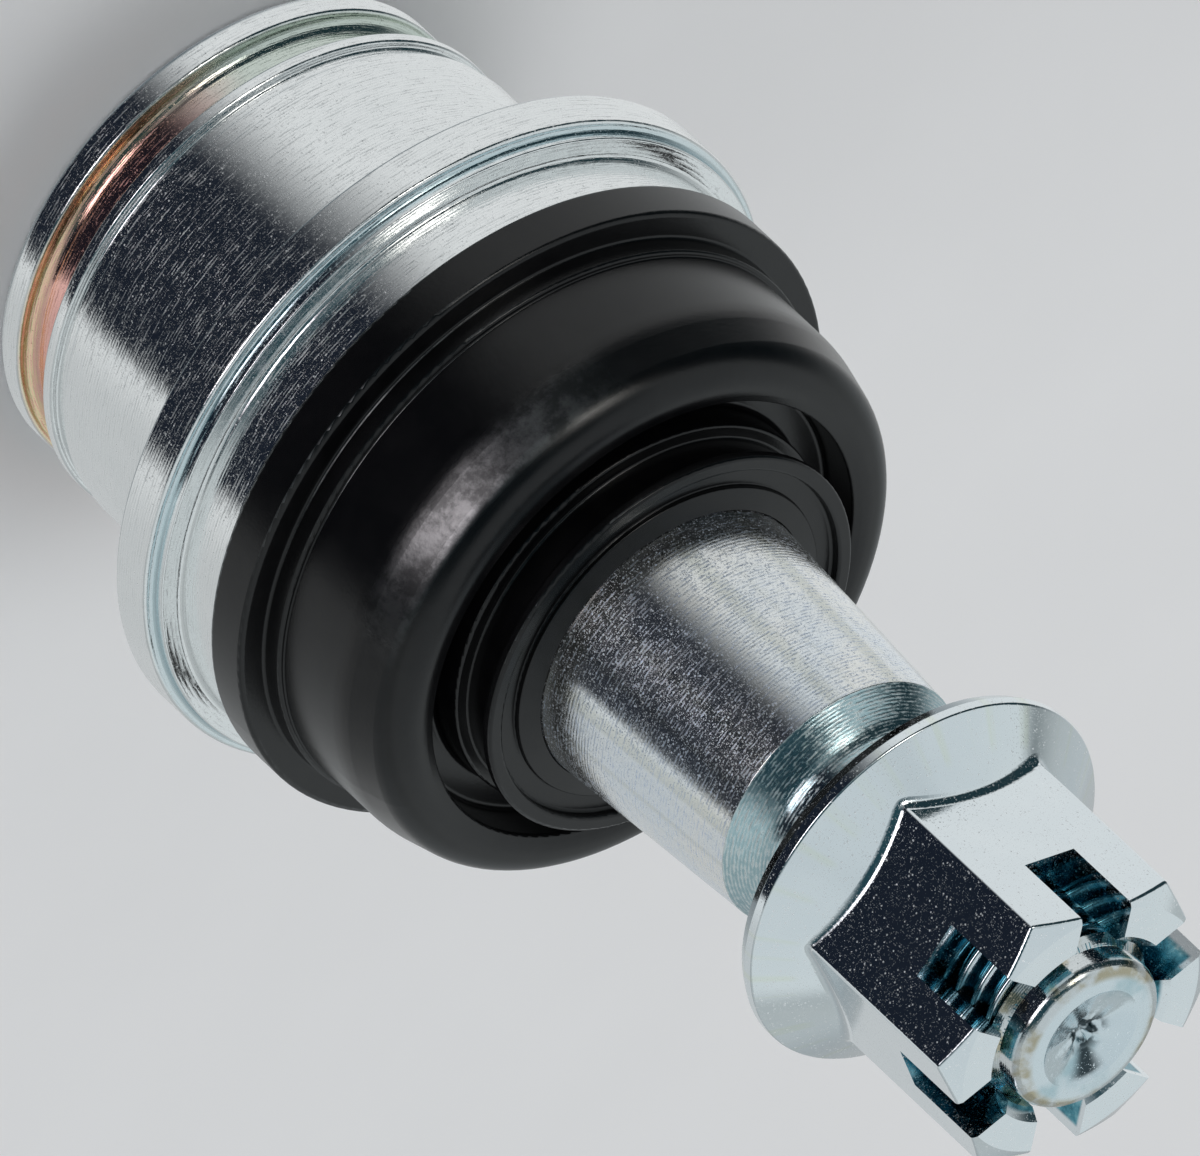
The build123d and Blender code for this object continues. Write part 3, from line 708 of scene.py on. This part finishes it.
def turned(name, points, sides, finish):
    """Piece turned from a closed section, or from an open one that starts and ends on the axis."""
    count = len(points)
    spans = count if points[0][0] > 0 else count - 1
    places = []
    for side in range(sides):
        angle = math.tau * side / sides
        places += [(radius * math.cos(angle), radius * math.sin(angle), z) for radius, z in points]
    faces = []
    for side in range(sides):
        here, there = side * count, (side + 1) % sides * count
        for point in range(spans):
            after = (point + 1) % count
            faces.append((here + point, there + point, there + after, here + after))
    data = bpy.data.meshes.new(name)
    data.from_pydata(places, [], faces)
    mesh = bmesh.new()
    mesh.from_mesh(data)
    bmesh.ops.remove_doubles(mesh, verts=mesh.verts, dist=SAME_POINT / 2)
    bmesh.ops.recalc_face_normals(mesh, faces=mesh.faces)
    mesh.to_mesh(data)
    mesh.free()
    piece = link(bpy.data.objects.new(name, data))
    even_normals(piece)
    dress(piece, finish)
    return piece


def add_housing(plating):
    """Housing shell: the CAD piece's own section in finer steps, so that its rims mirror cleanly."""
    points = outline_of("housing", lambda radius, z: (z, radius))
    # The CAD mesh is faceted, so its box can be a little narrower than its widest radius.
    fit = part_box("housing")[1].y / max(radius for radius, z in points)
    shell = turned("housing_shell", [(fit * radius, z) for radius, z in points], HOUSING_SIDES, plating)
    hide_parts("housing")
    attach(shell, "housing")


def add_boot(rubber):
    """Dust boot between the pressure cup and its own lip: a rubber copy that takes the CAD piece's place.
    """
    boot = copy_of("dust_boot", "boot_rubber_shell")
    dress(boot, rubber)
    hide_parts("dust_boot")
    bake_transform(boot)


class Rule(Nodes):
    """Geometry tree with named inputs for the sizes of a shape that follows a rule."""

    def __init__(self, name, sizes):
        super().__init__(bpy.data.node_groups.new(name, "GeometryNodeTree"))
        face = self.tree.interface
        face.new_socket("Geometry", in_out="INPUT", socket_type="NodeSocketGeometry")
        for size in sizes:
            face.new_socket(size, in_out="INPUT", socket_type="NodeSocketFloat")
        face.new_socket("Finish", in_out="INPUT", socket_type="NodeSocketMaterial")
        face.new_socket("Geometry", in_out="OUTPUT", socket_type="NodeSocketGeometry")
        self.given = self.add("NodeGroupInput").outputs

    def finish(self, geometry):
        """Ends the tree: real copies, the finish, and the result."""
        real = self.add("GeometryNodeRealizeInstances", inputs={"Geometry": geometry}).outputs[0]
        painted = self.add("GeometryNodeSetMaterial", inputs={
            "Geometry": real, "Material": self.given["Finish"]}).outputs[0]
        output = self.add("NodeGroupOutput")
        self.feed(output.inputs["Geometry"], painted)


def thread_rule(sides, rows):
    """Tree that rolls a grid into a rod with a rounded V thread and bevelled ends."""
    rule = Rule("metric_thread", ("Radius", "Depth", "Pitch", "Start", "End", "Foot", "Neck", "Shoulder"))
    given = rule.given
    grid = rule.add("GeometryNodeMeshGrid", inputs={
        "Size X": 1.0, "Size Y": 1.0, "Vertices X": sides + 1, "Vertices Y": rows}).outputs["Mesh"]
    split = rule.add("ShaderNodeSeparateXYZ", inputs={
        "Vector": rule.add("GeometryNodeInputPosition").outputs[0]})
    around = rule.math("ADD", split.outputs["X"], 0.5)
    share = rule.math("ADD", split.outputs["Y"], 0.5)
    length = rule.math("SUBTRACT", given["End"], given["Start"])
    height = rule.math("MULTIPLY_ADD", share, length, given["Start"])
    phase = rule.math("FRACT", rule.math("SUBTRACT", rule.math("DIVIDE", height, given["Pitch"]), around))
    slope = rule.math("ABSOLUTE", rule.math("MULTIPLY_ADD", phase, 2.0, -1.0))
    flank = rule.step(slope, THREAD_ROUNDING, 1.0 - THREAD_ROUNDING)
    thread = rule.math("SUBTRACT", given["Radius"], rule.math("MULTIPLY", flank, given["Depth"]))
    lower = rule.math("ADD", given["Neck"], rule.math("SUBTRACT", height, given["Foot"]))
    lower = rule.math("MAXIMUM", lower, rule.math("SUBTRACT", given["Radius"], given["Depth"]))
    upper = rule.math("ADD", given["Radius"], rule.math("SUBTRACT", given["Shoulder"], height))
    radius = rule.math("MINIMUM", thread, rule.math("MINIMUM", lower, upper))
    # The first and the last row close on the axis.
    inner = rule.math("LESS_THAN", rule.math("ABSOLUTE", split.outputs["Y"]), 0.4999)
    radius = rule.math("MULTIPLY", radius, inner)
    angle = rule.math("MULTIPLY", around, math.tau)
    place = rule.vector(rule.math("MULTIPLY", radius, rule.math("COSINE", angle)),
                        rule.math("MULTIPLY", radius, rule.math("SINE", angle)), height)
    rolled = rule.add("GeometryNodeSetPosition", inputs={"Geometry": grid, "Position": place}).outputs[0]
    joined = rule.add("GeometryNodeMergeByDistance", inputs={
        "Geometry": rolled, "Distance": SAME_POINT}).outputs[0]
    smooth = rule.add("GeometryNodeSetShadeSmooth", inputs={"Geometry": joined}).outputs[0]
    rule.finish(smooth)
    return rule.tree


def made_by(name, tree, values):
    """Plain mesh object that a geometry tree makes from the given sizes."""
    seed = link(bpy.data.objects.new(name + "_seed", bpy.data.meshes.new(name + "_seed")))
    modifier = seed.modifiers.new(tree.name, "NODES")
    modifier.node_group = tree
    for item in tree.interface.items_tree:
        if item.in_out == "INPUT" and item.name in values:
            modifier[item.identifier] = values[item.name]
    piece = link(bpy.data.objects.new(name, modified_mesh(seed)))
    piece.data.name = name
    bpy.data.objects.remove(seed)
    return piece


def cross_drill(piece, radius, height):
    """Drills a hole along X through a closed piece."""
    mesh = bmesh.new()
    turn = Matrix.Translation((0, 0, height)) @ Matrix.Rotation(math.pi / 2, 4, "Y")
    bmesh.ops.create_cone(mesh, cap_ends=True, segments=DRILL_SIDES, radius1=radius, radius2=radius,
                          depth=5 * THREAD_RADIUS, matrix=turn)
    drill = object_from(mesh, "drill")
    modifier = piece.modifiers.new("cotter_hole", "BOOLEAN")
    modifier.operation = "DIFFERENCE"
    modifier.solver = "EXACT"
    modifier.object = drill
    apply_modifiers(piece)
    bpy.data.objects.remove(drill)


def add_thread(finish):
    """Threaded end of the stud, from inside the undercut to inside the dog point."""
    start = THREAD_START_Z - THREAD_INTO_UNDERCUT
    end = THREAD_CHAMFER_Z + THREAD_INTO_POINT
    thread = made_by("stud_thread", thread_rule(THREAD_SIDES, THREAD_ROWS), {
        "Radius": THREAD_RADIUS, "Depth": THREAD_DEPTH, "Pitch": THREAD_PITCH, "Start": start, "End": end,
        "Foot": THREAD_START_Z - (THREAD_RADIUS - UNDERCUT_RADIUS), "Neck": UNDERCUT_RADIUS,
        "Shoulder": THREAD_CHAMFER_Z, "Finish": finish})
    cross_drill(thread, COTTER_HOLE_RADIUS, COTTER_HOLE_Z)
    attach(thread, "stud")


def add_stud(plating, waist):
    """Ball, neck, taper and waist, up to where the thread starts."""
    points = outline_of("ball_stud", lambda radius, z: (z, radius))
    points = [point for point in points if point[1] < THREAD_START_Z + SAME_PLACE]
    shank = turned("stud_shank", points + [(0.0, points[-1][1])], SHANK_SIDES, plating)
    shank.data.materials.append(waist)
    for face in shank.data.polygons:
        face.material_index = int(face.center.z > TAPER_END_Z)
    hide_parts("ball_stud")
    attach(shank, "stud")


def add_point(finish):
    """Dog point with a shallow dish, and a centre drilled with star-shaped chatter."""
    points = outline_of("ball_stud", lambda radius, z: (radius > SAME_PLACE, -z))
    points = [point for point in points if point[1] > THREAD_CHAMFER_Z - SAME_PLACE]
    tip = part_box("ball_stud")[1].z
    side = [(radius, z) for radius, z in points if radius > DISH_RADIUS]
    dish = [(radius * MM, tip - depth * MM) for radius, depth in DISH_STEPS]
    point = turned("stud_point", points[:1] + dish + side + [(0.0, side[-1][1])], POINT_SIDES, finish)
    for vertex in point.data.vertices:
        radius = math.hypot(vertex.co.x, vertex.co.y)
        if radius < CHATTER_RADIUS and vertex.co.z > points[0][1] + CHATTER_FOOT:
            fade = 1 - radius / CHATTER_RADIUS
            vertex.co.z += fade * CHATTER * math.cos(CHATTER_LOBES * math.atan2(vertex.co.y, vertex.co.x))
    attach(point, "stud")


housing_plating = finish_metal(
    "clear_zinc_housing", housing_color, roughness=0.10, grain=0.9, marks=1.0, lines_per_mm=3.4,
    brushed=0.3, large=0.14, small=0.85)
stud_plating = finish_metal(
    "clear_zinc_stud", stud_color, roughness=0.15, grain=1.2, marks=0.75, lines_per_mm=2.8,
    brushed=0.4, large=0.3, small=0.95, haze=0.03)
waist_plating = finish_metal(
    "teal_zinc_waist", waist_color, roughness=0.18, grain=0.6, marks=1.3, lines_per_mm=2.6,
    brushed=0.4, large=0.1, small=0.5)
nut_plating = finish_metal(
    "blue_zinc_nut", nut_color, roughness=0.08, grain=1.0, marks=0.03, large=0.2, small=0.5)
point_plating = finish_metal(
    "thin_zinc_point", point_color, roughness=0.12, grain=0.9, marks=0.4, lines_per_mm=4.0,
    large=0.2, small=0.6, dents=0.4)
thread_plating = finish_metal(
    "blue_zinc_thread", thread_color, roughness=0.14, grain=0.6, marks=0.2)
spring_steel = finish_metal(
    "phosphated_steel", plain_metal_color(tone(0.16, 0.165, 0.17), tone(0.24, 0.245, 0.25)),
    roughness=0.42, grain=0.5, marks=0.3)
bearing_iron = finish_metal(
    "oiled_sintered_iron", plain_metal_color(tone(0.20, 0.19, 0.18), tone(0.28, 0.27, 0.25)),
    roughness=0.38, grain=1.0, marks=0.2)
rubber = finish_rubber()

FINISHES = {
    "end_cover": housing_plating,
    "castle_nut": nut_plating,
    "preload_spring": spring_steel,
    "boot_base_ring": spring_steel,
    "boot_lip_ring": spring_steel,
    "pressure_cup": bearing_iron,
    "upper_bearing": bearing_iron,
}
for node, finish in FINISHES.items():
    dress(frame["nodes"][node], finish)

add_housing(housing_plating)
add_boot(rubber)
add_stud(stud_plating, waist_plating)
add_point(point_plating)
add_thread(thread_plating)

set_world()
for name, setting in LAMPS.items():
    add_lamp(name, **setting)
add_floor()
add_camera()

bpy.context.scene.view_settings.view_transform = "Standard"
